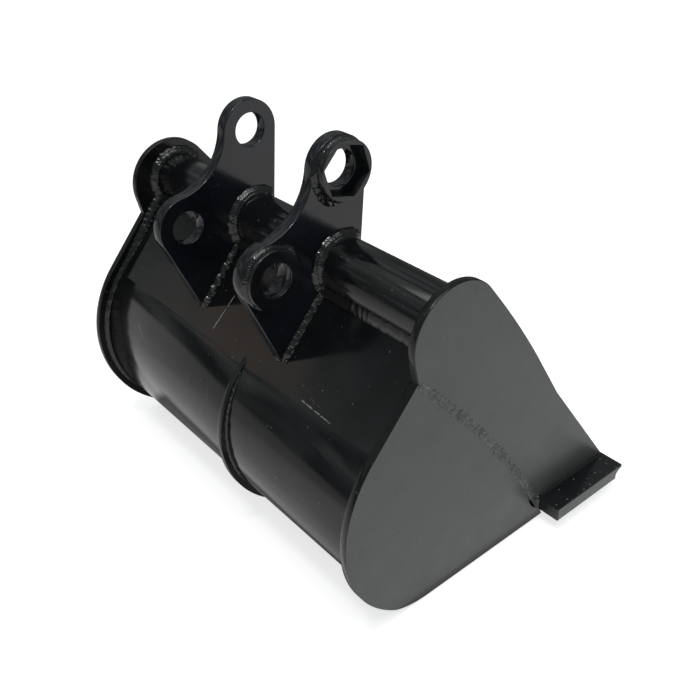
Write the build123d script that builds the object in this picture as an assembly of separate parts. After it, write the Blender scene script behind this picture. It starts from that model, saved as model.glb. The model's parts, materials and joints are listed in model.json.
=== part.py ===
from build123d import *
from math import atan2, cos, degrees, hypot, radians, sin, sqrt
import os

# Excavator bucket: welded plate bucket for a micro excavator with 25 mm pins.
#
# Frame: X across the bucket, Y towards the cutting edge, Z up, in mm.
# The origin is the centre of the bounding box at the bottom of the side plates.
# Side outlines are written as (Y, Z) pairs.

os.makedirs("parts", exist_ok=True)

# ---- driving dimensions -------------------------------------------------
WIDTH = 350.0            # over the side plates
SIDE_T = 6.0             # side plate thickness
SHELL_T = 6.0            # back shell thickness
RIM, BASE = 8.0, 12.0    # side plates proud of the shell at the back and below
EAR_T = 10.0
EAR_GAP = 95.0           # clear gap between the ears
BORE_R = 12.6            # running fit on a 25 mm pin
PIN_UP = (-35.7, 292.0)  # upper pin centre
PIN_LOW = (-97.9, 233.2)  # lower pin centre
LOBE_UP_R = 22.5         # ear radius round the upper pin
LOBE_LOW_R = 23.5        # ear radius round the lower pin
EAR_HOLLOW_R = 46.0      # hollow between the two ear lobes
EAR_LEAN = 6.3           # degrees the front edge of an ear leans back
EAR_FRONT_LEN = 70.0     # front edge, down into the tube
EAR_REAR_DIR = (0.374, -0.927)  # rear edge running down to the tip
EAR_REAR_LEN = 74.0
EAR_ROOT = (-62.0, 170.0)  # corner hidden inside the shell line
BOSS_R = 21.0
HEX_BOSS_T, PIN_BOSS_T = 8.0, 6.0
HEX_AF = 34.0            # pocket that stops the pin head turning
TUBE = (-38.0, 221.5)    # torque tube centre
TUBE_R, TUBE_WALL = 21.2, 5.0
TOP_LOBE, TOP_LOBE_R = (-42.0, 218.3), 36.7
HEEL, HEEL_R = (-39.25, 90.25), 98.5
NOTCH = (-75.3, 197.0)   # where the two lobes of the side plate meet
FRONT_KNEE = (47.3, 153.0)  # first corner of the front edge, below the top lobe
FRONT_BOW = 1.6          # how far the edge above that corner bows out
FRONT_SHOULDER = (66.4, 121.6)  # second corner of the front edge
FRONT_END = 137.0        # where the front edge meets the cutting edge
PLATE_CORNER_R = 60.0    # heel plate's rear bottom corner
BEVEL_Z, BEVEL_DEG = 9.0, 9.5  # bevel along the lower edge of the outer face
SEAM_MID = (-11.5, 121.5)
TOE = (65.0, 0.0)        # front bottom corner of the heel plate
SHELL_CORNER_R = 50.0    # outer radius of the shell's rear bottom bend
SHELL_INTO_TUBE = 38.0   # shell drawn past the notch, then cut at the tube
EDGE_BACK, EDGE_TIP = 56.5, 137.8
EDGE_BOTTOM, EDGE_T = BASE, 12.0
LIP_REACH, LIP_T = 6.6, 3.2  # thin lip ground along the front of the cutting edge
LIP_DROP = 4.4           # hollow below the lip
EDGE_HALF = 195.5        # half length of the cutting edge
RIB_X, RIB_T = 19.5, 5.0  # rib across the outside of the heel
RIB_H, RIB_TOP_H = 5.5, 3.4  # height behind the heel and where it fades out above
RIB_FROM, RIB_BACK, RIB_TO = 134.0, 180.0, 239.0  # directions round the heel, in degrees
LEG, TUBE_LEG, EAR_LEG, SMALL_LEG = 3.6, 6.0, 4.6, 2.2  # fillet weld legs
BOSS_LEG, RIB_LEG = 4.0, 1.5
EAR_RUN = 57.0           # straight weld down the flank below the tube
VALLEY_LEG, VALLEY_SPAN, VALLEY_BULGE = 6.5, 19.0, 1.2  # weld in the valley of tube and shell
EDGE_WELD_FROM, EDGE_WELD_TO = 57.0, 134.0
TOE_W, TOE_PROUD = 7.0, 2.5  # plug in the corner behind the cutting edge
EAR_RING_START = 46.0    # where the ring weld on an ear begins, in degrees from +Y
TOE_GAP, TOE_GAP_R = (68.0, 33.0), 23.6  # crescent left open beside the toe weld
TOE_GAP_STEP = 1.6       # offset of the crescent's inner circle
SEAM_W, SEAM_H = 8.0, 1.6  # width and height of the proud seam bead

X_OUT = WIDTH / 2
X_IN = X_OUT - SIDE_T
EDGE_TOP = EDGE_BOTTOM + EDGE_T


# ---- helpers ------------------------------------------------------------
def side_plane(x):
    """Sketch plane at X = x whose local axes are (Y, Z)."""
    return Plane(origin=(x, 0, 0), x_dir=(0, 1, 0), z_dir=(1, 0, 0))


def plate(face, x0, x1):
    """Side-view face extruded from x0 to x1."""
    return extrude(side_plane(x0) * face, amount=x1 - x0, dir=(1, 0, 0))


def on_circle(centre, r, deg):
    return (centre[0] + r * cos(radians(deg)), centre[1] + r * sin(radians(deg)))


def tangent(point, centre, r, turn):
    """Touch point of the tangent from a point to a circle; turn is +1 or -1."""
    dy, dz = centre[0] - point[0], centre[1] - point[1]
    dist = hypot(dy, dz)
    length = sqrt(dist * dist - r * r)
    a = atan2(dz, dy) + turn * atan2(r, length)
    return (point[0] + length * cos(a), point[1] + length * sin(a))


def touching_centre(c1, r1, c2, r2, r):
    """Centre of a circle of radius r outside and touching two circles."""
    a, b = r1 + r, r2 + r
    dy, dz = c2[0] - c1[0], c2[1] - c1[1]
    d = hypot(dy, dz)
    t = (a * a - b * b + d * d) / (2 * d)
    h = sqrt(a * a - t * t)
    return (c1[0] + (t * dy + h * dz) / d, c1[1] + (t * dz - h * dy) / d)


def disc(centre, r):
    return Pos(*centre) * Circle(r)


def round_corner(face, corner, r):
    """Face with the corner at a (Y, Z) point rounded to radius r."""
    return fillet([v for v in face.vertices() if hypot(v.X - corner[0], v.Y - corner[1]) < 0.01], r)


def sector(centre, r, angles, x0, x1):
    """Fan-shaped block round a centre, used to clip ring welds."""
    return plate(make_face(Polyline(centre, *[on_circle(centre, r, t) for t in angles], close=True)), x0, x1)


def ring_bead(x, side, r, leg):
    """Triangular ring round the X axis, against a face at X = x."""
    tri = Plane.XZ * make_face(Polyline((x, r), (x, r + leg), (x + side * leg, r), close=True))
    return revolve(tri, axis=Axis.X, revolution_arc=360)


def ring_fillet(x, side):
    """Fillet weld round the torque tube against a face at X = x."""
    return Pos(0, *TUBE) * ring_bead(x, side, TUBE_R, TUBE_LEG)


def mirrored(shape):
    return mirror(shape, about=Plane.YZ)


# ---- side plates --------------------------------------------------------
heel_touch = tangent(NOTCH, HEEL, HEEL_R, -1)
flank_len = hypot(heel_touch[0] - NOTCH[0], heel_touch[1] - NOTCH[1])
flank = ((NOTCH[0] - heel_touch[0]) / flank_len, (NOTCH[1] - heel_touch[1]) / flank_len)
outward = (-flank[1], flank[0])


def heel_outline(inset, base):
    """Notch, flank, heel arc and bottom corner: inset from the plate, bottom at base."""
    r = HEEL_R - inset
    start = (NOTCH[0] - inset * outward[0], NOTCH[1] - inset * outward[1])
    touch = (heel_touch[0] - inset * outward[0], heel_touch[1] - inset * outward[1])
    corner = (HEEL[0] - sqrt(r * r - (HEEL[1] - base) ** 2), base)
    a0 = degrees(atan2(touch[1] - HEEL[1], touch[0] - HEEL[0]))
    a1 = degrees(atan2(corner[1] - HEEL[1], corner[0] - HEEL[0])) + 360
    return start, touch, on_circle(HEEL, r, (a0 + a1) / 2), corner


def heel_plate():
    start, touch, mid, corner = heel_outline(0, 0)
    face = make_face([
        Line(start, touch), ThreePointArc(touch, mid, corner), Line(corner, TOE),
        ThreePointArc(TOE, SEAM_MID, start),
    ])
    body = plate(round_corner(face, corner, PLATE_CORNER_R), X_IN, X_OUT)
    body -= Pos(X_OUT, EDGE_BACK + 50, EDGE_BOTTOM + EDGE_T / 2) * Box(50, 100, EDGE_T)
    bevel = Pos(X_OUT, 0, BEVEL_Z) * Rot(0, BEVEL_DEG, 0) * Pos(10, 0, -25) * Box(20, 400, 50)
    return body - bevel - toe_gap()


def toe_gap():
    """Crescent beside the toe weld that the bead did not fill."""
    inner = (TOE_GAP[0] + TOE_GAP_STEP, TOE_GAP[1] + TOE_GAP_STEP)
    return plate(disc(TOE_GAP, TOE_GAP_R) - disc(inner, TOE_GAP_R), X_OUT - 3, X_OUT + 5)


def front_plate():
    lobe_a = tangent(NOTCH, TOP_LOBE, TOP_LOBE_R, 1)
    lobe_b = tangent(FRONT_KNEE, TOP_LOBE, TOP_LOBE_R, -1)
    top = on_circle(TOP_LOBE, TOP_LOBE_R, 100)
    run = hypot(FRONT_KNEE[0] - lobe_b[0], FRONT_KNEE[1] - lobe_b[1])
    bow = ((lobe_b[0] + FRONT_KNEE[0]) / 2 + FRONT_BOW * (lobe_b[1] - FRONT_KNEE[1]) / run,
           (lobe_b[1] + FRONT_KNEE[1]) / 2 + FRONT_BOW * (FRONT_KNEE[0] - lobe_b[0]) / run)
    face = make_face([
        Line(NOTCH, lobe_a), ThreePointArc(lobe_a, top, lobe_b), ThreePointArc(lobe_b, bow, FRONT_KNEE),
        Polyline(FRONT_KNEE, FRONT_SHOULDER, (FRONT_END, EDGE_TOP), (FRONT_END, 0), TOE),
        ThreePointArc(NOTCH, SEAM_MID, TOE),
    ])
    face -= Pos(100, EDGE_TOP - 50) * Rectangle(300, 100)
    return plate(face, X_IN, X_OUT)


# ---- tube, shell, cutting edge -----------------------------------------
def torque_tube():
    return plate(disc(TUBE, TUBE_R) - disc(TUBE, TUBE_R - TUBE_WALL), -X_IN, X_IN)


def shell_side(depth):
    """Shell outline from inside the tube to the bottom corner, depth below the outer skin."""
    start, touch, mid, corner = heel_outline(RIM + depth, BASE + depth)
    top = (start[0] + SHELL_INTO_TUBE * flank[0], start[1] + SHELL_INTO_TUBE * flank[1])
    return top, touch, mid, corner


def back_shell():
    top, touch, mid, corner = shell_side(0)
    top2, touch2, mid2, corner2 = shell_side(SHELL_T)
    face = make_face([
        Line(top, touch), ThreePointArc(touch, mid, corner), Line(corner, (EDGE_BACK, BASE)),
        Line((EDGE_BACK, BASE), (EDGE_BACK, BASE + SHELL_T)), Line((EDGE_BACK, BASE + SHELL_T), corner2),
        ThreePointArc(corner2, mid2, touch2), Line(touch2, top2), Line(top2, top),
    ])
    face = round_corner(face, corner, SHELL_CORNER_R)
    face = round_corner(face, corner2, SHELL_CORNER_R - SHELL_T)
    return plate(face - disc(TUBE, TUBE_R), -X_IN, X_IN)


def cutting_edge():
    front = EDGE_TIP - LIP_REACH
    lip = EDGE_TOP - LIP_T
    hollow = ThreePointArc((front, lip - LIP_DROP), (front + 1.8, lip - LIP_DROP / 2), (EDGE_TIP, lip))
    face = make_face([
        Polyline((EDGE_TIP, lip), (EDGE_TIP, EDGE_TOP), (EDGE_BACK, EDGE_TOP), (EDGE_BACK, EDGE_BOTTOM),
                 (front, EDGE_BOTTOM), (front, lip - LIP_DROP)),
        hollow,
    ])
    return plate(face, -EDGE_HALF, EDGE_HALF)


# ---- ears, bosses, rib --------------------------------------------------
def ear_face():
    front = on_circle(PIN_UP, LOBE_UP_R, -EAR_LEAN)
    lean = radians(EAR_LEAN)
    base = (front[0] - EAR_FRONT_LEN * sin(lean), front[1] - EAR_FRONT_LEN * cos(lean))
    hollow = touching_centre(PIN_UP, LOBE_UP_R, PIN_LOW, LOBE_LOW_R, EAR_HOLLOW_R)
    up = atan2(hollow[1] - PIN_UP[1], hollow[0] - PIN_UP[0])
    low = atan2(hollow[1] - PIN_LOW[1], hollow[0] - PIN_LOW[0])
    t_up = on_circle(PIN_UP, LOBE_UP_R, degrees(up))
    t_low = on_circle(PIN_LOW, LOBE_LOW_R, degrees(low))
    mid_dir = atan2((t_up[1] + t_low[1]) / 2 - hollow[1], (t_up[0] + t_low[0]) / 2 - hollow[0])
    rear = (PIN_LOW[0] + LOBE_LOW_R * EAR_REAR_DIR[1], PIN_LOW[1] - LOBE_LOW_R * EAR_REAR_DIR[0])
    tip = (rear[0] + EAR_REAR_LEN * EAR_REAR_DIR[0], rear[1] + EAR_REAR_LEN * EAR_REAR_DIR[1])
    face = make_face([
        Line(base, front),
        ThreePointArc(front, on_circle(PIN_UP, LOBE_UP_R, 90), t_up),
        ThreePointArc(t_up, on_circle(hollow, EAR_HOLLOW_R, degrees(mid_dir)), t_low),
        ThreePointArc(t_low, on_circle(PIN_LOW, LOBE_LOW_R, 150), rear),
        Line(rear, tip), Line(tip, EAR_ROOT), Line(EAR_ROOT, base),
    ])
    return face - disc(PIN_UP, BORE_R) - disc(PIN_LOW, BORE_R)


def inside_block():
    """Everything on the inner side of the shell surface and tube."""
    top, touch, mid, corner = shell_side(0)
    face = make_face([
        Line(top, touch), ThreePointArc(touch, mid, corner), Line(corner, (EDGE_BACK, BASE)),
        Line((EDGE_BACK, BASE), top),
    ])
    return plate(round_corner(face, corner, SHELL_CORNER_R) + disc(TUBE, TUBE_R), -X_IN, X_IN)


def ear(x0):
    return plate(ear_face(), x0, x0 + EAR_T) - inside_block()


def hex_boss(x0):
    pocket = Pos(*PIN_UP) * Rot(0, 0, 45) * RegularPolygon(HEX_AF / sqrt(3), 6)
    return plate(disc(PIN_UP, BOSS_R) - pocket, x0, x0 + HEX_BOSS_T)


def pin_boss(x0):
    return plate(disc(PIN_LOW, BOSS_R) - disc(PIN_LOW, BORE_R), x0, x0 + PIN_BOSS_T)


def heel_rib():
    """Narrow strip that fades out up the flank."""
    r = HEEL_R - RIM
    root = [on_circle(HEEL, r, a) for a in (RIB_FROM, (RIB_FROM + RIB_TO) / 2, RIB_TO)]
    end = on_circle(HEEL, r + RIB_H, RIB_TO - 3)
    low = on_circle(HEEL, r + RIB_H, (RIB_BACK + RIB_TO) / 2)
    back = on_circle(HEEL, r + RIB_H, RIB_BACK)
    high = on_circle(HEEL, r + RIB_TOP_H, (RIB_FROM + RIB_BACK) / 2)
    face = make_face([
        ThreePointArc(*root), Line(root[2], end),
        ThreePointArc(end, low, back), ThreePointArc(back, high, root[0]),
    ])
    return plate(face, RIB_X, RIB_X + RIB_T) - inside_block()


# ---- welds --------------------------------------------------------------
def seam_weld():
    """Proud bead over the joint between the two pieces of a side plate."""
    path = ThreePointArc(NOTCH, SEAM_MID, TOE)
    centre, r = path.arc_center, path.radius
    rise = EDGE_TOP + 5 - centre.Y
    a0 = atan2(rise, sqrt(r * r - rise * rise))
    a1 = atan2(NOTCH[1] - centre.Y, NOTCH[0] - centre.X) - radians(0.6)
    w = SEAM_W / 2
    start = Plane(origin=(0, centre.X, centre.Y), x_dir=(1, 0, 0), z_dir=(0, -sin(a0), cos(a0)))
    profile = start * make_face(Polyline(
        (X_OUT, r - w), (X_OUT, r + w), (X_OUT + SEAM_H, r + w - SEAM_H), (X_OUT + SEAM_H, r - w + SEAM_H),
        close=True))
    return revolve(profile, axis=Axis((0, centre.X, centre.Y), (1, 0, 0)), revolution_arc=degrees(a1 - a0))


def valley_point():
    """Where the shell's outer surface runs into the tube."""
    top = shell_side(0)[0]
    off = (top[0] - TUBE[0]) * outward[0] + (top[1] - TUBE[1]) * outward[1]
    along = -sqrt(TUBE_R ** 2 - off ** 2)
    return (TUBE[0] + off * outward[0] + along * flank[0], TUBE[1] + off * outward[1] + along * flank[1])


def valley_weld():
    """Weld along the valley where the shell runs into the tube."""
    q = valley_point()
    a = degrees(atan2(q[1] - TUBE[1], q[0] - TUBE[0])) % 360
    low = (q[0] - VALLEY_LEG * flank[0], q[1] - VALLEY_LEG * flank[1])
    high = on_circle(TUBE, TUBE_R, a - VALLEY_SPAN)
    mid = ((low[0] + high[0]) / 2 + VALLEY_BULGE * outward[0],
           (low[1] + high[1]) / 2 + VALLEY_BULGE * outward[1])
    face = make_face([ThreePointArc(low, mid, high), Line(high, TUBE), Line(TUBE, low)])
    return plate(face, -X_IN, X_IN) - inside_block()


def tube_end_weld():
    return ring_fillet(X_IN, -1) - plate(disc(TUBE, TUBE_R), -X_IN, X_IN) - back_shell()


def rim_weld():
    """Fillet between the outside of the shell and the side plate."""
    start, touch, mid, corner = heel_outline(RIM - LEG, BASE - LEG)
    top = (start[0] + 20 * flank[0], start[1] + 20 * flank[1])
    face = make_face([
        Line(top, touch), ThreePointArc(touch, mid, corner), Line(corner, (EDGE_BACK, BASE - LEG)),
        Line((EDGE_BACK, BASE - LEG), top),
    ])
    face = round_corner(face, corner, SHELL_CORNER_R + LEG)
    inward = Plane(origin=(X_IN, 0, 0), x_dir=(0, -1, 0), z_dir=(-1, 0, 0))
    body = extrude(inward * mirror(face, about=Plane.YZ), amount=LEG - 0.02, taper=45)
    return body - inside_block()


def ear_weld(x0):
    """Fillets along both faces of an ear, round the tube and down the shell."""
    q = valley_point()
    a = degrees(atan2(q[1] - TUBE[1], q[0] - TUBE[0])) % 360
    fan = sector(TUBE, 45, (EAR_RING_START, 75, 115, 160, 195, a), -X_IN, X_IN)
    foot = (q[0] - EAR_RUN * flank[0], q[1] - EAR_RUN * flank[1])
    runs = []
    for x, s in ((x0, -1), (x0 + EAR_T, 1)):
        frame = Plane(origin=(x, *foot), x_dir=(s, 0, 0), z_dir=(0, *flank))
        tri = make_face(Polyline((0, 0), (EAR_LEG, 0), (0, -s * EAR_LEG), close=True))
        runs.append((ring_fillet(x, s) & fan) + extrude(frame * tri, amount=EAR_RUN + 3))
    return (runs[0] + runs[1]) - inside_block()


def boss_weld(x, centre):
    """Ring fillet round a boss, clipped to the ear it sits on."""
    ring = Pos(0, *centre) * ring_bead(x, 1, BOSS_R, BOSS_LEG)
    return ring & plate(ear_face() + disc(centre, BORE_R + 1), x, x + BOSS_LEG)


def edge_side_weld():
    """Small fillet on top of the cutting edge, outside the side plate."""
    tri = Plane.XZ * make_face(Polyline(
        (X_OUT, EDGE_TOP), (X_OUT + SMALL_LEG, EDGE_TOP), (X_OUT, EDGE_TOP + SMALL_LEG), close=True))
    return Pos(0, EDGE_WELD_TO, 0) * extrude(tri, amount=EDGE_WELD_TO - EDGE_WELD_FROM)


def edge_shell_weld():
    """Fillet inside the bucket, in the step between cutting edge and shell."""
    step = EDGE_TOP - BASE - SHELL_T
    low = EDGE_TOP - step
    face = make_face(Polyline((EDGE_BACK, EDGE_TOP), (EDGE_BACK, low), (EDGE_BACK - step, low), close=True))
    return plate(face, -X_IN, X_IN)


def toe_weld(heel):
    """Plug that closes the corner between heel plate and cutting edge."""
    place = Pos((X_IN + X_OUT + TOE_PROUD) / 2, EDGE_BACK - TOE_W / 2, EDGE_BOTTOM + EDGE_T / 2)
    body = place * Box(SIDE_T + TOE_PROUD, TOE_W, EDGE_T) - heel - toe_gap()
    return body.solids().sort_by(SortBy.VOLUME)[-1]


def rib_weld(rib):
    """Fillets along both faces of the heel rib."""
    a = degrees(atan2(heel_touch[1] - HEEL[1], heel_touch[0] - HEEL[0]))
    r = HEEL_R - RIM
    right, left = [Pos(0, *HEEL) * ring_bead(x, s, r, RIB_LEG) for x, s in ((RIB_X, -1), (RIB_X + RIB_T, 1))]
    fan = sector(HEEL, 130, (a + 4, 160, 185, 210, 235), 0, 40)
    return ((right + left) & fan) - rib - inside_block()


# ---- build and export ---------------------------------------------------
ear_right_x, ear_left_x = EAR_GAP / 2, -EAR_GAP / 2 - EAR_T
boss_x = ear_right_x + EAR_T
heel, front = heel_plate(), front_plate()
tube, shell, rib = torque_tube(), back_shell(), heel_rib()
valley, tube_end, rim = valley_weld(), tube_end_weld(), rim_weld()
ear_r, ear_l = ear(ear_right_x), ear(ear_left_x)
ear_weld_r, ear_weld_l = ear_weld(ear_right_x), ear_weld(ear_left_x)

for side in (tube_end, mirrored(tube_end)):
    valley -= side
rim = rim - valley - tube_end
for piece in (ear_r, ear_l, ear_weld_r, ear_weld_l, rim, mirrored(rim)):
    valley -= piece
toe = toe_weld(heel)
side_weld = edge_side_weld() - toe

nodes = {
    "side_front_right": front,
    "side_front_left": mirrored(front),
    "side_heel_right": heel,
    "side_heel_left": mirrored(heel),
    "torque_tube": tube,
    "back_shell": shell,
    "cutting_edge": cutting_edge(),
    "ear_right": ear_r,
    "ear_left": ear_l,
    "hex_boss": hex_boss(boss_x),
    "pin_boss": pin_boss(boss_x),
    "heel_rib": rib,
    "weld_seam_right": seam_weld(),
    "weld_seam_left": mirrored(seam_weld()),
    "weld_tube_shell": valley,
    "weld_tube_end_right": tube_end,
    "weld_tube_end_left": mirrored(tube_end),
    "weld_rim_right": rim,
    "weld_rim_left": mirrored(rim),
    "weld_ear_right": ear_weld_r,
    "weld_ear_left": ear_weld_l,
    "weld_hex_boss": boss_weld(boss_x, PIN_UP),
    "weld_pin_boss": boss_weld(boss_x, PIN_LOW),
    "weld_heel_rib": rib_weld(rib),
    "weld_edge_right": side_weld,
    "weld_edge_left": mirrored(side_weld),
    "weld_edge_shell": edge_shell_weld(),
    "weld_toe_right": toe,
    "weld_toe_left": mirrored(toe),
}
for name, shape in nodes.items():
    export_step(shape, f"parts/{name}.step")
    box = shape.bounding_box()
    print(name, len(shape.solids()), round(shape.volume), [round(v, 1) for v in (*box.min, *box.max)])
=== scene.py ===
"""Looks for the excavator bucket: paint on the CAD plates, rippled weld beads, studio and camera.

Frame: X across the bucket, Y towards the cutting edge, Z up, in metres.
Outlines in the side view are (Y, Z) pairs, as in the CAD.
"""
import json
import math

import bmesh
import bpy
import numpy as np
from mathutils import Matrix, Quaternion, Vector


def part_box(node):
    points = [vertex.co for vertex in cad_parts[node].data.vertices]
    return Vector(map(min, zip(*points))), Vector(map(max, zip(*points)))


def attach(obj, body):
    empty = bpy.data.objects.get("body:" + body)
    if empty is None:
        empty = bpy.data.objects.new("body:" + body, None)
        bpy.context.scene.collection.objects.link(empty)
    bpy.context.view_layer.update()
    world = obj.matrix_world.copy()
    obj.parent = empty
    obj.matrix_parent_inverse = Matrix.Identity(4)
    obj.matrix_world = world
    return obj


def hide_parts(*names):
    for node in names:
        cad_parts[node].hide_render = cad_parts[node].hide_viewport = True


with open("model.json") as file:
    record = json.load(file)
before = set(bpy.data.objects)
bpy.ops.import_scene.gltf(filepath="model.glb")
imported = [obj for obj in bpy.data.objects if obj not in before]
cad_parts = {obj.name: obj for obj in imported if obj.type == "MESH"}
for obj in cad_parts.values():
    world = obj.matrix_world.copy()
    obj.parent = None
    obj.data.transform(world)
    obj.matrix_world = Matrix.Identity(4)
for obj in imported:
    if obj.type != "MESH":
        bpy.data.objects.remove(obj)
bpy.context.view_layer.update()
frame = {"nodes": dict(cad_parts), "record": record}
MM = 0.001

# ---- sizes shared with the CAD ------------------------------------------
X_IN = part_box("torque_tube")[1][0]            # inner face of the side plates
X_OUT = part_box("side_front_right")[1][0]      # outer face of the side plates
HEEL, HEEL_R = (-39.25 * MM, 90.25 * MM), 98.5 * MM
RIM, BASE = 8 * MM, 12 * MM                   # side plates proud of the shell
BASE_BEND = 50 * MM                           # outer bend radius at the bottom of the shell
SHELL_T = 6 * MM
NOTCH, SEAM_MID, TOE = (-75.3 * MM, 197 * MM), (-11.5 * MM, 121.5 * MM), (65 * MM, 0.0)
BOSS_R = 21 * MM
EAR_T = 10 * MM

# ---- weld sizes, close to the CAD's plain fillets -----------------------
RIM_LEG, TOP_RIM_LEG = 3.6 * MM, 8.4 * MM     # round the heel, and beside the notch
RIM_LEG_ACROSS = 6 * MM                       # most the rim weld spreads over the shell
RING_LEG, EAR_LEG = 6 * MM, 4.6 * MM
TIP_LEG_DOWN, TIP_LEG_OUT = 5 * MM, 4 * MM    # below the tip of an ear
BOSS_LEG_AXIAL, BOSS_LEG_RADIAL = 3.4 * MM, 4 * MM
EDGE_LEG, EDGE_SHELL_LEG, TOE_LEG, RIB_LEG = 2.2 * MM, 5.8 * MM, 4.5 * MM, 1.5 * MM
VALLEY_LEG = 6.5 * MM                         # down the shell from the valley beside the tube
VALLEY_SPAN = 19                              # how far that weld climbs the tube, in degrees
SEAM_HALF, SEAM_HIGH = 3.2 * MM, 0.7 * MM     # proud bead on a side plate
EAR_FOOT = 57 * MM                            # valley to the tip of an ear
RING_START = 44                               # degrees from +Y where the ring weld on an ear begins
RIB_END = 237                                 # degrees from +Y where the heel rib's weld ends
WELD_SEED = 11

# ---- places read from the CAD -------------------------------------------
tube_low, tube_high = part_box("torque_tube")
TUBE_R = (tube_high[2] - tube_low[2]) / 2
TUBE = ((tube_low[1] + tube_high[1]) / 2, (tube_low[2] + tube_high[2]) / 2)
mounts = {m["name"]: m["pos_m"] for m in frame["record"]["mounts"]}
PIN_UP, PIN_LOW = mounts["pin_upper"][1:], mounts["pin_lower"][1:]
EDGE_BACK, EDGE_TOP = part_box("cutting_edge")[0][1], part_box("cutting_edge")[1][2]
EAR_X = (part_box("ear_left")[0][0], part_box("ear_right")[0][0])
EAR_FACE = EAR_X[1] + EAR_T                   # outer face of the right ear, which carries the bosses
RIB_X = (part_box("heel_rib")[0][0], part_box("heel_rib")[1][0])


# ---- side-view geometry -------------------------------------------------
def at(centre, r, deg):
    return (centre[0] + r * math.cos(math.radians(deg)), centre[1] + r * math.sin(math.radians(deg)))


def spokes(points, centre, r):
    """Unit directions from a centre to points that lie r away."""
    return [((p[0] - centre[0]) / r, (p[1] - centre[1]) / r) for p in points]


def angle(p, centre):
    return math.degrees(math.atan2(p[1] - centre[1], p[0] - centre[0])) % 360


notch_dist = math.dist(NOTCH, HEEL)
FLANK_DEG = angle(NOTCH, HEEL) + math.degrees(math.acos(HEEL_R / notch_dist))
OUT = at((0, 0), 1, FLANK_DEG)                # flank's outward normal
UP = (-OUT[1], OUT[0]) if OUT[0] > 0 else (OUT[1], -OUT[0])   # up along the flank
OUT3, DOWN3 = (0, *OUT), (0, -UP[0], -UP[1])
SKIN_R = HEEL_R - RIM
FLANK_FOOT = at(HEEL, SKIN_R, FLANK_DEG)      # where the flank meets the heel bend
off = (FLANK_FOOT[0] - TUBE[0]) * OUT[0] + (FLANK_FOOT[1] - TUBE[1]) * OUT[1]
along = -math.sqrt(TUBE_R ** 2 - off ** 2)
VALLEY = (TUBE[0] + off * OUT[0] + along * UP[0], TUBE[1] + off * OUT[1] + along * UP[1])
VALLEY_DEG = angle(VALLEY, TUBE)
ARC_STEP = 1.5 * MM


def arc(centre, r, a0, a1):
    n = max(3, int(abs(math.radians(a1 - a0)) * r / ARC_STEP) + 1)
    return [at(centre, r, a) for a in np.linspace(a0, a1, n)]


def skin_outline():
    """Outer surface of the shell in the side view, with its normals, from the tube to the edge."""
    bend_z = BASE + BASE_BEND
    drop = HEEL[1] - bend_z
    bend = (HEEL[0] - math.sqrt((SKIN_R - BASE_BEND) ** 2 - drop ** 2), bend_z)
    turn = angle(bend, HEEL)
    heel = arc(HEEL, SKIN_R, FLANK_DEG, turn)[1:]
    low = arc(bend, BASE_BEND, turn, 270)[1:]
    points = [VALLEY, FLANK_FOOT] + heel + low + [(EDGE_BACK, BASE)]
    return points, [OUT, OUT] + spokes(heel, HEEL, SKIN_R) + spokes(low, bend, BASE_BEND) + [(0, -1)]


# ---- meshes -------------------------------------------------------------
WAVES = 5                                     # sines that make up a random curve
BEAD_STEP = 0.45 * MM                         # spacing of cross sections along a bead
GROOVE = 0.45 * MM                            # depth between the passes of a wide weld
CROWN = 0.16                                  # height of a fillet's crown, as a share of its leg
ROOT_SINK, TOE_SINK, FLAT_SINK = 0.5 * MM, 0.1 * MM, 0.12 * MM   # how far a bead is sunk into the plates


def wander(s, rng, length):
    """Smooth random curve between about -1 and 1 whose bumps are about length long."""
    total = np.zeros_like(s)
    for _ in range(WAVES):
        total += np.sin(2 * math.pi * s / (length * rng.uniform(0.6, 1.8)) + rng.uniform(0, 2 * math.pi))
    return total / WAVES * 1.5


def resampled(step, *tracks):
    """Point and direction tracks at an even step along the first track."""
    tracks = [np.asarray(t, float) for t in tracks]
    dist = np.concatenate([[0], np.cumsum(np.linalg.norm(np.diff(tracks[0], axis=0), axis=1))])
    s = np.linspace(0, dist[-1], max(8, int(dist[-1] / step)))
    return [s] + [np.stack([np.interp(s, dist, t[:, i]) for i in range(3)], 1) for t in tracks]


def spread(leg, n):
    """One leg, or legs at even steps along a bead, as n values."""
    return np.interp(np.linspace(0, 1, n), np.linspace(0, 1, np.size(leg)), np.atleast_1d(leg))


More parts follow.
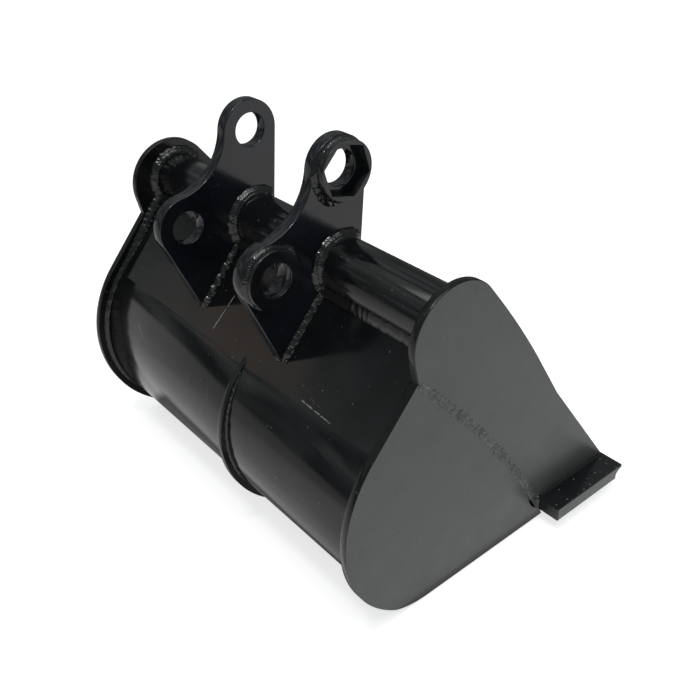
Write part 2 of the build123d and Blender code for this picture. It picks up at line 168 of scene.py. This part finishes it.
def bead(path, dir_a, dir_b, leg_a, leg_b, rng, flat=False, pitch=1.9 * MM, ripple=0.16 * MM, lumps=0.1,
         passes=1, jitter=0.0, ends=(True, True)):
    """Weld bead along a path. A fillet fills the corner between dir_a and dir_b; a flat bead
    lies on a surface, leg_a to each side of the path along dir_a and leg_b high along dir_b.
    Ripples lie pitch apart and ripple high, lumps vary the size, jitter roughens it point by
    point, and ends says which ends are rounded off."""
    s, p, a, b = resampled(BEAD_STEP, path, dir_a, dir_b)
    a /= np.linalg.norm(a, axis=1)[:, None]
    b /= np.linalg.norm(b, axis=1)[:, None]
    leg_a, leg_b = spread(leg_a, len(s)), spread(leg_b, len(s))
    size = (leg_a + leg_b) / 2
    close = np.ones_like(s)
    for on, run in ((ends[0], s), (ends[1], s[-1] - s)):
        if on:
            close *= np.sqrt(np.clip(1 - (1 - np.clip(run / (size * 0.9), 0, 1)) ** 2, 0.01, 1))
    toe_a, toe_b = 1 + lumps * wander(s, rng, 7 * MM), 1 + lumps * wander(s, rng, 6 * MM)
    crown = 1 + 1.6 * lumps * wander(s, rng, 9 * MM)
    phase = s / pitch + 0.6 * wander(s, rng, 14 * MM)
    strong = ripple * (1 + 0.7 * wander(s, rng, 11 * MM))
    rings = []
    for t in np.linspace(0, 1, 4 * passes + 5):
        hump = 4 * t * (1 - t)
        layer = t * passes % 1 if t < 1 else 1.0
        wave = strong * np.cos(2 * math.pi * (phase + 0.55 * (2 * layer - 1) ** 2 + 0.37 * int(t * passes)))
        groove = GROOVE * (1 - 4 * layer * (1 - layer)) ** 2 if passes > 1 else 0.0
        uneven = rng.normal(0, jitter, len(s)) if jitter else 0.0
        rough = wave - groove + uneven
        if flat:
            side = (2 * t - 1) * leg_a * (toe_a if t < 0.5 else toe_b) * close
            high = (leg_b * crown + rough) * math.sqrt(hump) * close - FLAT_SINK
            ring = p + a * side[:, None] + b * high[:, None]
        else:
            out = (a + b) / np.linalg.norm(a + b, axis=1)[:, None]
            wa, wb = (1 - t) * leg_a * toe_a * close, t * leg_b * toe_b * close
            high = (CROWN * size * crown * hump + rough * math.sqrt(hump)) * close
            ring = p + a * wa[:, None] + b * wb[:, None] + out * high[:, None] - (a + b) * TOE_SINK
        rings.append(ring)
    back = p - (b if flat else (a + b)) * ROOT_SINK
    verts = np.stack([back] + rings, 1)
    n, m = verts.shape[:2]
    faces = [(i * m + j, i * m + (j + 1) % m, (i + 1) * m + (j + 1) % m, (i + 1) * m + j)
             for i in range(n - 1) for j in range(m)]
    faces += [tuple(range(m))[::-1], tuple(range((n - 1) * m, n * m))]
    return verts.reshape(-1, 3), faces


def droplet(place, normal, r, rng, height=0.7):
    """Blob of spatter on a surface: a lumpy low dome, sunk a little into it."""
    n = Vector(normal).normalized()
    a = n.orthogonal().normalized()
    b = n.cross(a)
    long, turn = rng.uniform(1.0, 1.5), rng.uniform(0, math.pi)
    cos_turn, sin_turn = math.cos(turn), math.sin(turn)
    verts, around = [], 10
    for tilt in (-25, 5, 35, 65):
        for k in range(around):
            phi = 2 * math.pi * k / around
            reach = r * math.cos(math.radians(tilt)) * (1 + 0.12 * math.sin(2 * phi + turn))
            u, v = reach * long * math.cos(phi), reach * math.sin(phi)
            side = a * (u * cos_turn - v * sin_turn) + b * (u * sin_turn + v * cos_turn)
            verts.append(Vector(place) + side + n * (height * r * math.sin(math.radians(tilt))))
    verts.append(Vector(place) + n * height * r)
    rows = len(verts) // around
    faces = [(i * around + k, i * around + (k + 1) % around, (i + 1) * around + (k + 1) % around,
              (i + 1) * around + k) for i in range(rows - 1) for k in range(around)]
    faces += [((rows - 1) * around + k, (rows - 1) * around + (k + 1) % around, rows * around)
              for k in range(around)]
    faces.append(tuple(range(around))[::-1])
    return verts, faces


def add_piece(name, parts, material, slot, *nodes):
    """One object from several (vertices, faces) parts, riding on the root body."""
    verts, faces, start = [], [], 0
    for v, f in parts:
        verts.extend(map(tuple, v))
        faces.extend(tuple(i + start for i in face) for face in f)
        start += len(v)
    mesh = bpy.data.meshes.new(name)
    mesh.from_pydata(verts, [], faces)
    mesh.materials.append(material)
    mesh.polygons.foreach_set("use_smooth", [True] * len(mesh.polygons))
    mesh.update()
    fix_normals(mesh)
    obj = bpy.data.objects.new(name, mesh)
    bpy.context.scene.collection.objects.link(obj)
    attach(obj, "root")
    if nodes:
        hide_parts(*nodes)
    return obj


def fix_normals(mesh):
    bm = bmesh.new()
    bm.from_mesh(mesh)
    bmesh.ops.recalc_face_normals(bm, faces=bm.faces)
    bm.to_mesh(mesh)
    bm.free()


# ---- materials ----------------------------------------------------------
def feed(tree, sock, value):
    """Link a socket to an input, or set the input to a plain value."""
    if isinstance(value, bpy.types.NodeSocket):
        tree.links.new(value, sock)
    else:
        sock.default_value = value


def node(tree, kind, props=None, **inputs):
    """New shader node. Inputs go by name, or by number as i0, i1 and so on."""
    n = tree.nodes.new(kind)
    for key, value in (props or {}).items():
        setattr(n, key, value)
    for key, value in inputs.items():
        numbered = key[0] == "i" and key[1:].isdigit()
        feed(tree, n.inputs[int(key[1:]) if numbered else key.replace("_", " ")], value)
    return n


def noise(tree, coords, scale, detail=3.0, rough=0.5):
    n = node(tree, "ShaderNodeTexNoise", Vector=coords, Scale=scale, Detail=detail, Roughness=rough)
    return n.outputs["Fac"]


def remap(tree, value, low, high, to_low=0.0, to_high=1.0):
    n = node(tree, "ShaderNodeMapRange", {"clamp": True}, Value=value, From_Min=low, From_Max=high,
             To_Min=to_low, To_Max=to_high)
    return n.outputs["Result"]


def math_node(tree, op, a, b=0.0):
    return node(tree, "ShaderNodeMath", {"operation": op}, i0=a, i1=b).outputs[0]


def times(tree, a, b):
    return math_node(tree, "MULTIPLY", a, b)


def vector_math(tree, op, a, b):
    return node(tree, "ShaderNodeVectorMath", {"operation": op}, i0=a, i1=b).outputs


def split(tree, vector):
    """X, Y and Z of a vector socket."""
    return node(tree, "ShaderNodeSeparateXYZ", Vector=vector).outputs


def shades(colour, swing):
    """A colour made darker and paler by a share, with alpha."""
    return [tuple(c * k for c in colour) + (1,) for k in (1 - swing, 1 + swing)]


def blend_colour(tree, fac, low, high):
    return node(tree, "ShaderNodeMix", {"data_type": "RGBA"}, i0=fac, i6=low, i7=high).outputs[2]


def dots(tree, coords, scale, core, edge):
    """Small round spots, one in each cell of a random pattern."""
    cells = node(tree, "ShaderNodeTexVoronoi", Vector=coords, Scale=scale)
    return remap(tree, cells.outputs["Distance"], core, edge, 1.0, 0.0)


def bump(tree, height, distance, under=None, **more):
    """Bump node over another one's normal."""
    n = node(tree, "ShaderNodeBump", more, Height=height, Strength=1.0, Distance=distance)
    if under:
        tree.links.new(under.outputs[0], n.inputs["Normal"])
    return n


def scratch_mask(tree, coords, start, end, width, breaks):
    """1 on a thin mark from start to end, broken up by noise."""
    a, ab = Vector(start), Vector(end) - Vector(start)
    ap = vector_math(tree, "SUBTRACT", coords, a)[0]
    dot = vector_math(tree, "DOT_PRODUCT", ap, ab / ab.length_squared)["Value"]
    t = node(tree, "ShaderNodeClamp", Value=dot).outputs[0]
    foot = node(tree, "ShaderNodeVectorMath", {"operation": "SCALE"}, i0=ab, Scale=t).outputs[0]
    gap = vector_math(tree, "DISTANCE", ap, foot)["Value"]
    near = remap(tree, gap, width * 0.5, width, 1.0, 0.0)
    return times(tree, near, remap(tree, noise(tree, coords, breaks, 2.0), 0.42, 0.55))


def outer_mask(tree, coords):
    """1 on the flat outer faces at the two ends of the bucket, which are paler and duller."""
    x = math_node(tree, "ABSOLUTE", split(tree, coords)[0])
    normal = node(tree, "ShaderNodeNewGeometry").outputs["True Normal"]
    facing = math_node(tree, "ABSOLUTE", split(tree, normal)[0])
    return times(tree, remap(tree, facing, 0.988, 0.996), remap(tree, x, X_OUT - MM, X_OUT - MM / 2))


BLACK = (0.0046, 0.0049, 0.0055)
BLUE_BLACK = (0.0058, 0.0070, 0.0098)
BOSS_BLACK = (0.0060, 0.0066, 0.0078)
EDGE_BLACK = (0.0085, 0.009, 0.010)
SEAM_GREY = (0.060, 0.065, 0.064)
DULL, DULL_ROUGH = (0.052, 0.056, 0.0555), 0.34
# pale speck colour: partly dust, partly painted glints
DUST_AND_GLINT, BARE = (0.16, 0.16, 0.155, 1), (0.32, 0.31, 0.29, 1)
MOTTLE, DULL_MOTTLE = 0.35, 0.07              # how far the shade drifts
FAINT, CLEAR = 0.3, 0.65                      # how strongly a mark shows
PIT_DEPTH = 0.5 * MM


def paint(name, shade, rough, peel=0.03, dents=0.4, pits=0.0, specks=0.25, marks=(), cover=0.56, dull=None,
          shine=0.5):
    """Black paint: peel and dents in mm, pits and specks from 0 to 1, marks as scratch segments.
    Specks show where a noise is above cover. dull is the shade of the outer end faces where
    they differ from the rest."""
    mat = bpy.data.materials.new(name)
    mat.use_nodes = True
    tree = mat.node_tree
    bsdf = tree.nodes["Principled BSDF"]
    coords = node(tree, "ShaderNodeTexCoord").outputs["Object"]
    bsdf.inputs["Specular IOR Level"].default_value = shine
    tone = remap(tree, noise(tree, coords, 16, 4, 0.6), 0.35, 0.65)
    colour = blend_colour(tree, tone, *shades(shade, MOTTLE))
    base_rough = rough
    if dull:
        mask = outer_mask(tree, coords)
        colour = blend_colour(tree, mask, colour, blend_colour(tree, tone, *shades(dull, DULL_MOTTLE)))
        base_rough = remap(tree, mask, 0, 1, rough, DULL_ROUGH)
    # pale specks: partly dust caught in the paint, partly painted glints for speckled highlights
    rare = remap(tree, noise(tree, coords, 75, 2), cover, cover + 0.08)
    dust_and_glint = times(tree, times(tree, dots(tree, coords, 210.0, 0.08, 0.16), rare), specks)
    colour = blend_colour(tree, dust_and_glint, colour, DUST_AND_GLINT)
    wear = remap(tree, noise(tree, coords, 34, 6, 0.7), 0.3, 0.7, 0.8, 1.3)
    rubbed = times(tree, wear, base_rough)
    for start, end, width, breaks, strength in marks:
        line = scratch_mask(tree, coords, Vector(start) * MM, Vector(end) * MM, width * MM, breaks)
        mask = times(tree, line, strength)
        colour = blend_colour(tree, mask, colour, BARE)
        rubbed = math_node(tree, "MAXIMUM", rubbed, times(tree, mask, 0.6))
    tree.links.new(colour, bsdf.inputs["Base Color"])
    tree.links.new(rubbed, bsdf.inputs["Roughness"])
    wave = bump(tree, noise(tree, coords, 13, 2, 0.4), dents * MM)
    last = bump(tree, noise(tree, coords, 620, 2, 0.5), peel * MM, wave)
    if pits:
        some = remap(tree, noise(tree, coords, 42, 2), 0.52, 0.60)
        hole = times(tree, dots(tree, coords, 120.0, 0.05, 0.16), some)
        last = bump(tree, hole, PIT_DEPTH, last, invert=True)
        last.inputs["Strength"].default_value = pits
    tree.links.new(last.outputs[0], bsdf.inputs["Normal"])
    return mat


SHELL_MARKS = [                               # start, end, width in mm, how it breaks up per metre, strength
    ((-22.5, -80.4, 179.5), (-26.0, -101.1, 156.9), 0.5, 140, CLEAR),
    ((90.5, -104.1, 153.7), (122.0, -104.8, 152.5), 0.6, 420, CLEAR),
    ((96.0, -101.0, 157.5), (112.0, -102.5, 156.0), 0.6, 300, FAINT),
    ((40.0, -132.0, 96.0), (66.0, -133.5, 90.0), 0.5, 220, FAINT),
    ((-120.0, -121.0, 130.0), (-108.0, -124.0, 122.0), 0.6, 240, FAINT),
    ((128.0, -82.0, 182.0), (150.0, -80.0, 184.0), 0.5, 260, FAINT),
]
PAINTS = {name: paint(name, shade, rough, **more) for name, shade, rough, more in (
    ("plate_paint", BLACK, 0.18, dict(peel=0.05, dents=0.3, pits=0.7, specks=0.3, dull=DULL, shine=0.36)),
    ("shell_paint", BLACK, 0.11, dict(peel=0.02, dents=0.8, specks=0.5, marks=SHELL_MARKS)),
    ("tube_paint", BLACK, 0.13, dict(peel=0.02, specks=0.5)),
    ("ear_paint", BLUE_BLACK, 0.12, dict(dents=0.25)),
    ("boss_paint", BOSS_BLACK, 0.15, dict(dents=0.15)),
    # dense pale specks on the cutting edge: painted glints for the speckled highlights on its rough top
    ("edge_paint", EDGE_BLACK, 0.22, dict(peel=0.06, dents=0.35, pits=1.0, specks=1.0, cover=0.42, dull=DULL,
                                          shine=0.4)),
    ("weld_paint", BLACK, 0.13, dict(peel=0.05, dents=0.0)),
    ("seam_paint", SEAM_GREY, 0.25, dict(peel=0.08, dents=0.0)),
)}


# ---- CAD nodes: rounded edges and paint ---------------------------------
JOIN_DISTANCE, EDGE_ROUND = 0.01 * MM, 0.7 * MM
FLAT_ANGLE, SHARP_ANGLE = math.radians(0.4), math.radians(35)


def dress(obj, slot):
    """Paint a CAD piece and round its sharp edges a little."""
    obj.data.materials.clear()
    obj.data.materials.append(PAINTS[slot])
    join = obj.modifiers.new("join", "WELD")
    join.merge_threshold = JOIN_DISTANCE
    flat = obj.modifiers.new("flatten", "DECIMATE")
    flat.decimate_type = "DISSOLVE"
    flat.angle_limit = FLAT_ANGLE
    soft = obj.modifiers.new("soften", "BEVEL")
    soft.width = EDGE_ROUND
    soft.segments = 2
    soft.limit_method = "ANGLE"
    soft.angle_limit = SHARP_ANGLE
    soft.harden_normals = True


for entry in frame["record"]["subparts"]:
    if not entry["node"].startswith("weld_"):
        dress(frame["nodes"][entry["node"]], entry["material_slot"])


# ---- weld beads ---------------------------------------------------------
def yz(points, x):
    """Side-view points or directions as 3-D ones at X = x."""
    return [(x, *p) for p in points]


def row(vector, n):
    return [vector] * n


def weld(name, parts, *nodes, material="weld_paint"):
    return add_piece(name, parts, PAINTS[material], "weld_paint", *nodes)


def rim_bead(side, rng):
    """Rim weld, built up to the plate's edge beside the notch and small below."""
    points, normals = skin_outline()
    legs = [TOP_RIM_LEG, TOP_RIM_LEG * 0.92, RIM_LEG]
    built_up = np.interp(np.linspace(0, 1, 60), [0, 0.05, 0.17], legs)
    across = np.clip(built_up, RIM_LEG, RIM_LEG_ACROSS)
    return bead(yz(points, side * X_IN), row((-side, 0, 0), len(points)), yz(normals, 0), across, built_up,
                rng, ripple=0.06 * MM, lumps=0.07, jitter=0.07 * MM)


def ring_bead(x, centre, r, side, rng, a0=0, a1=360, leg_axial=RING_LEG, leg_radial=RING_LEG, **more):
    """Fillet round a cylinder at X = x: side is the way the cylinder stands out of the face."""
    points = arc(centre, r, a0, a1)
    return bead(yz(points, x), row((side, 0, 0), len(points)), yz(spokes(points, centre, r), 0), leg_axial,
                leg_radial, rng, **more)


def straight(p0, p1, a, b, leg, rng, **more):
    return bead([p0, p1], [a, a], [b, b], leg, leg, rng, **more)


def on_flank(down, x):
    """Point on the flank's outer surface, down metres below the valley."""
    return (x, VALLEY[0] - down * UP[0], VALLEY[1] - down * UP[1])


def scatter(count, place, normal, low, high, rng):
    """Spatter of count droplets; place(rng) gives each one's point."""
    return [droplet(place(rng), normal, rng.uniform(low, high) * MM, rng) for _ in range(count)]


def ear_beads(x0, rng):
    """Welds along both faces of an ear, round the tube and down the flank, and below its tip."""
    parts = []
    for x, side in ((x0, -1), (x0 + EAR_T, 1)):
        parts.append(ring_bead(x, TUBE, TUBE_R, side, rng, RING_START, VALLEY_DEG + 2, passes=3, lumps=0.08))
        parts.append(straight(on_flank(0, x), on_flank(EAR_FOOT, x), (side, 0, 0), OUT3, EAR_LEG, rng,
                              lumps=0.09, ripple=0.13 * MM))
        parts += scatter(9, lambda r: on_flank(r.uniform(8, 60) * MM, x + side * r.uniform(6, 13) * MM), OUT3,
                         0.25, 0.7, rng)
    tip = [on_flank(EAR_FOOT - 1 * MM, x0 - 2 * MM), on_flank(EAR_FOOT - 1 * MM, x0 + EAR_T + 2 * MM)]
    parts.append(bead(tip, row(DOWN3, 2), row(OUT3, 2), TIP_LEG_DOWN, TIP_LEG_OUT, rng, lumps=0.25))
    parts.append(droplet(on_flank(EAR_FOOT + 3 * MM, x0 + 2 * MM), OUT3, 2.4 * MM, rng))
    parts.append(droplet(on_flank(EAR_FOOT + 1 * MM, x0 + EAR_T + 2 * MM), OUT3, 2.0 * MM, rng))
    return parts


def boss_bead(centre, spare, body_deg, rng):
    """Ring weld round a boss: full towards the ear's body at body_deg, and elsewhere only as wide
    as spare, which is how far the ear's lobe stands out past the boss."""
    degs = np.linspace(0, 360, 61)
    near = np.clip((np.cos(np.radians(degs - body_deg)) + 0.15) * 4, 0, 1)
    radial = spare + (BOSS_LEG_RADIAL - spare) * near
    return ring_bead(EAR_FACE, centre, BOSS_R, 1, rng, 0, 360, BOSS_LEG_AXIAL, radial, ends=(False, False),
                     lumps=0.1, ripple=0.1 * MM)


def seam_circle():
    """Centre and radius of the curved joint between the two pieces of a side plate."""
    (y0, z0), (y1, z1), (y2, z2) = NOTCH, SEAM_MID, TOE
    d = 2 * (y0 * (z1 - z2) + y1 * (z2 - z0) + y2 * (z0 - z1))
    q0, q1, q2 = y0 * y0 + z0 * z0, y1 * y1 + z1 * z1, y2 * y2 + z2 * z2
    centre = ((q0 * (z1 - z2) + q1 * (z2 - z0) + q2 * (z0 - z1)) / d,
              (q0 * (y2 - y1) + q1 * (y0 - y2) + q2 * (y1 - y0)) / d)
    return centre, math.dist(centre, NOTCH)


def seam_beads(side, rng):
    """Flat bead, with spatter, over the joint between the two pieces of a side plate."""
    centre, r = seam_circle()
    high, low = angle(NOTCH, centre), math.degrees(math.asin((EDGE_TOP + 3 * MM - centre[1]) / r))
    points = arc(centre, r, high - 0.1, low)
    line = bead(yz(points, side * X_OUT), yz(spokes(points, centre, r), 0), row((side, 0, 0), len(points)),
                SEAM_HALF, SEAM_HIGH, rng, flat=True, lumps=0.4, pitch=2.3 * MM, ripple=0.2 * MM,
                jitter=0.2 * MM)

    def beside(draw):
        reach = r + draw.choice((-1, 1)) * draw.uniform(4, 9) * MM
        return (side * X_OUT, *at(centre, reach, draw.uniform(low, high - 2)))
    return [line] + scatter(16, beside, (side, 0, 0), 0.2, 0.5, rng)


def rib_beads(rng):
    return [ring_bead(x, HEEL, SKIN_R, side, rng, FLANK_DEG + 4, RIB_END, RIB_LEG, RIB_LEG, ripple=0.05 * MM,
                      lumps=0.2) for x, side in ((RIB_X[0], -1), (RIB_X[1], 1))]


def edge_bead(side, rng):
    """Small fillet on top of the cutting edge, outside a side plate."""
    ends = [(side * X_OUT, EDGE_BACK + run * MM, EDGE_TOP) for run in (2, 78)]
    return straight(*ends, (side, 0, 0), (0, 0, 1), EDGE_LEG, rng, ripple=0.07 * MM)


def toe_bead(side, rng):
    """Upright plug that closes the corner between heel plate and cutting edge."""
    x = (X_IN + X_OUT) / 2 * side + side * MM
    ends = [(x, EDGE_BACK, z) for z in (BASE + 0.5 * MM, EDGE_TOP + 2 * MM)]
    return straight(*ends, (0, -1, 0), (side, 0, 0), TOE_LEG, rng, lumps=0.2)


def valley_bead(rng):
    """Weld where the shell runs into the tube; its upper leg is a chord of the tube."""
    chord_deg = VALLEY_DEG - 90 - VALLEY_SPAN / 2
    chord = 2 * TUBE_R * math.sin(math.radians(VALLEY_SPAN / 2))
    up_tube = (0, *at((0, 0), 1, chord_deg))
    return bead([(-X_IN, *VALLEY), (X_IN, *VALLEY)], row(DOWN3, 2), row(up_tube, 2), VALLEY_LEG, chord, rng,
                lumps=0.04, ripple=0.02 * MM)


def make_welds():
    """Every bead, in one fixed order because they share the random draws."""
    rng = np.random.default_rng(WELD_SEED)
    for side, word in ((1, "right"), (-1, "left")):
        weld(f"bead_rim_{word}", [rim_bead(side, rng)], f"weld_rim_{word}")
        tube_end = ring_bead(side * X_IN, TUBE, TUBE_R, -side, rng, passes=2, lumps=0.09, ends=(False, False))
        weld(f"bead_tube_end_{word}", [tube_end], f"weld_tube_end_{word}")
        weld(f"bead_ear_{word}", ear_beads(EAR_X[side > 0], rng), f"weld_ear_{word}")
        weld(f"bead_seam_{word}", seam_beads(side, rng), f"weld_seam_{word}", material="seam_paint")
        weld(f"bead_edge_{word}", [edge_bead(side, rng)], f"weld_edge_{word}")
        weld(f"bead_toe_{word}", [toe_bead(side, rng)], f"weld_toe_{word}")
    weld("bead_tube_shell", [valley_bead(rng)], "weld_tube_shell")
    lumps = [droplet((EAR_FACE, *at(PIN_UP, 23 * MM, deg)), (1, 0, 0), r * MM, rng, height=0.55)
             for deg, r in ((222, 3.2), (236, 4.2), (249, 3.4), (264, 2.2))]
    weld("bead_hex_boss", [boss_bead(PIN_UP, 1.0 * MM, 262, rng)] + lumps, "weld_hex_boss")
    weld("bead_pin_boss", [boss_bead(PIN_LOW, 2.4 * MM, 330, rng)], "weld_pin_boss")
    weld("bead_heel_rib", rib_beads(rng), "weld_heel_rib")
    inside = [(x, EDGE_BACK, BASE + SHELL_T) for x in (-X_IN, X_IN)]
    weld("bead_edge_shell", [straight(*inside, (0, -1, 0), (0, 0, 1), EDGE_SHELL_LEG, rng, passes=2)],
         "weld_edge_shell")


make_welds()


# ---- stage, light, camera -----------------------------------------------
FLOOR_SIZE, FLOOR_DROP, CARD_DROP = 24, 0.5 * MM, 0.3 * MM   # both lie just under the bucket
FLOOR_GREY, FLOOR_GLOW = 0.60, 0.72
DOME_R, DOME_GREY = 11.5, 0.95
CARD_X, CARD_Y = 172 * MM, 135 * MM           # half sizes of the bucket's shade on the card
WARM_AZIMUTH, WARM_ELEVATION = -142, 21.4     # direction of the warm patch in the surroundings
WARM = (0.34, 0.27, 0.23, 1)
SKY = ((0, 0.20), (8, 0.14), (20, 0.36), (28, 0.22), (45, 0.36), (90, 0.5))   # elevation, brightness
CAMERA_PLACE, CAMERA_AIM = (0.4913, -0.3766, 0.5105), (0.032, -0.014, 0.126)
CAMERA_ROLL, LENS = -2.53, 45.31              # degrees, mm


def sheet(name, drop):
    """Large flat square just under the bucket, with a new material of the same name."""
    bpy.ops.mesh.primitive_plane_add(size=FLOOR_SIZE, location=(0, 0, -drop))
    return named(name)


def named(name):
    """Name the shape just made and give it a material; returns it with the material's nodes."""
    obj = bpy.context.object
    obj.name = name
    mat = bpy.data.materials.new(name)
    mat.use_nodes = True
    obj.data.materials.append(mat)
    return obj, mat.node_tree


def glow_only(tree):
    """Emission shader in place of the usual one."""
    tree.nodes.remove(tree.nodes["Principled BSDF"])
    emit = node(tree, "ShaderNodeEmission")
    tree.links.new(emit.outputs[0], tree.nodes["Material Output"].inputs["Surface"])
    return emit


def make_floor():
    """Plain pale floor that glows a little, so shadows on it stay faint."""
    floor, tree = sheet("floor", FLOOR_DROP)
    bsdf = tree.nodes["Principled BSDF"]
    bsdf.inputs["Base Color"].default_value = (FLOOR_GREY, FLOOR_GREY, FLOOR_GREY, 1)
    bsdf.inputs["Roughness"].default_value = 0.9
    bsdf.inputs["Specular IOR Level"].default_value = 0.1
    bsdf.inputs["Emission Color"].default_value = (1, 1, 1, 1)
    bsdf.inputs["Emission Strength"].default_value = FLOOR_GLOW


def make_card():
    """Card on the floor that shows only in reflections: pale, dim close to the bucket, which
    shades it, and dark beyond the bucket's far corner."""
    card, tree = sheet("reflection_card", CARD_DROP)
    card.visible_camera = card.visible_diffuse = card.visible_shadow = False
    x, y = split(tree, node(tree, "ShaderNodeTexCoord").outputs["Object"])[:2]
    squares = []
    for value, half in ((x, CARD_X), (y, CARD_Y)):
        far = math_node(tree, "SUBTRACT", math_node(tree, "ABSOLUTE", value), half)
        outside = math_node(tree, "MAXIMUM", far, 0.0)
        squares.append(times(tree, outside, outside))
    gap = math_node(tree, "SQRT", math_node(tree, "ADD", *squares))
    near = remap(tree, gap, 0, 14 * MM, 0.22, 1.0)
    side = remap(tree, x, -0.35, 0.05, 0.48, 0.96)
    behind = math_node(tree, "SUBTRACT", y, times(tree, x, 0.6))
    dark = times(tree, remap(tree, behind, 0.25, 0.40), remap(tree, x, -0.1, -0.3))
    glow = times(tree, times(tree, near, side), remap(tree, dark, 0, 1, 1.0, 0.15))
    tree.links.new(glow, glow_only(tree).inputs["Strength"])


def make_backdrop():
    """Plain pale dome that only the camera sees, so every view has a plain background."""
    bpy.ops.mesh.primitive_uv_sphere_add(segments=48, ring_count=24, radius=DOME_R)
    dome, tree = named("backdrop")
    dome.visible_diffuse = dome.visible_glossy = dome.visible_transmission = dome.visible_shadow = False
    glow_only(tree).inputs["Color"].default_value = (DOME_GREY, DOME_GREY, DOME_GREY, 1)


def aimed(place, target, roll=0.0):
    """Turn that looks from place to target, upright and then rolled by some degrees."""
    turn = (Vector(target) - Vector(place)).to_track_quat("-Z", "Y")
    return turn @ Quaternion((0, 0, 1), math.radians(roll))


def area_light(name, place, size, power):
    """Square lamp that shines at the origin."""
    data = bpy.data.lights.new(name, "AREA")
    data.shape = "RECTANGLE"
    data.size = data.size_y = size
    data.energy = power
    lamp = bpy.data.objects.new(name, data)
    bpy.context.scene.collection.objects.link(lamp)
    lamp.location = place
    lamp.rotation_euler = aimed(place, (0, 0, 0)).to_euler()


def make_world():
    """Dim blotchy surroundings in bands by elevation, with one warm patch."""
    world = bpy.data.worlds.new("studio")
    bpy.context.scene.world = world
    world.use_nodes = True
    tree = world.node_tree
    coords = node(tree, "ShaderNodeTexCoord").outputs["Generated"]
    ramp = node(tree, "ShaderNodeValToRGB", Fac=split(tree, coords)[2])
    stops = ramp.color_ramp.elements
    for _ in SKY[2:]:
        stops.new(0.5)
    for stop, (deg, glow) in zip(stops, SKY):
        stop.position = math.sin(math.radians(deg))
        stop.color = (glow * 0.93, glow, glow, 1)
    patch = Vector((*at((0, 0), 1, WARM_AZIMUTH), math.tan(math.radians(WARM_ELEVATION))))
    toward = vector_math(tree, "DOT_PRODUCT", coords, patch.normalized())["Value"]
    warm, tint = [remap(tree, toward, 0.994, 0.9985, 0.0, most) for most in (0.45, 0.8)]
    blotch = remap(tree, noise(tree, coords, 4.6, 3.0, 0.6), 0.42, 0.58, 0.45, 1.4)
    background = tree.nodes["Background"]
    tree.links.new(blend_colour(tree, tint, ramp.outputs["Color"], WARM), background.inputs["Color"])
    tree.links.new(math_node(tree, "ADD", blotch, warm), background.inputs["Strength"])


def make_camera():
    data = bpy.data.cameras.new("camera")
    data.lens, data.sensor_width = LENS, 36.0
    data.clip_start = 0.01
    cam = bpy.data.objects.new("camera", data)
    turn = aimed(CAMERA_PLACE, CAMERA_AIM, CAMERA_ROLL).to_matrix().to_4x4()
    cam.matrix_world = Matrix.Translation(CAMERA_PLACE) @ turn
    bpy.context.scene.collection.objects.link(cam)
    bpy.context.scene.camera = cam


make_floor()
make_card()
make_backdrop()
make_world()
area_light("overhead", (0.7, -0.2, 3.0), 2.4, 42)
area_light("glint", (0.3, -0.8, 2.6), 0.3, 11)
make_camera()
bpy.context.scene.view_settings.view_transform = "Standard"
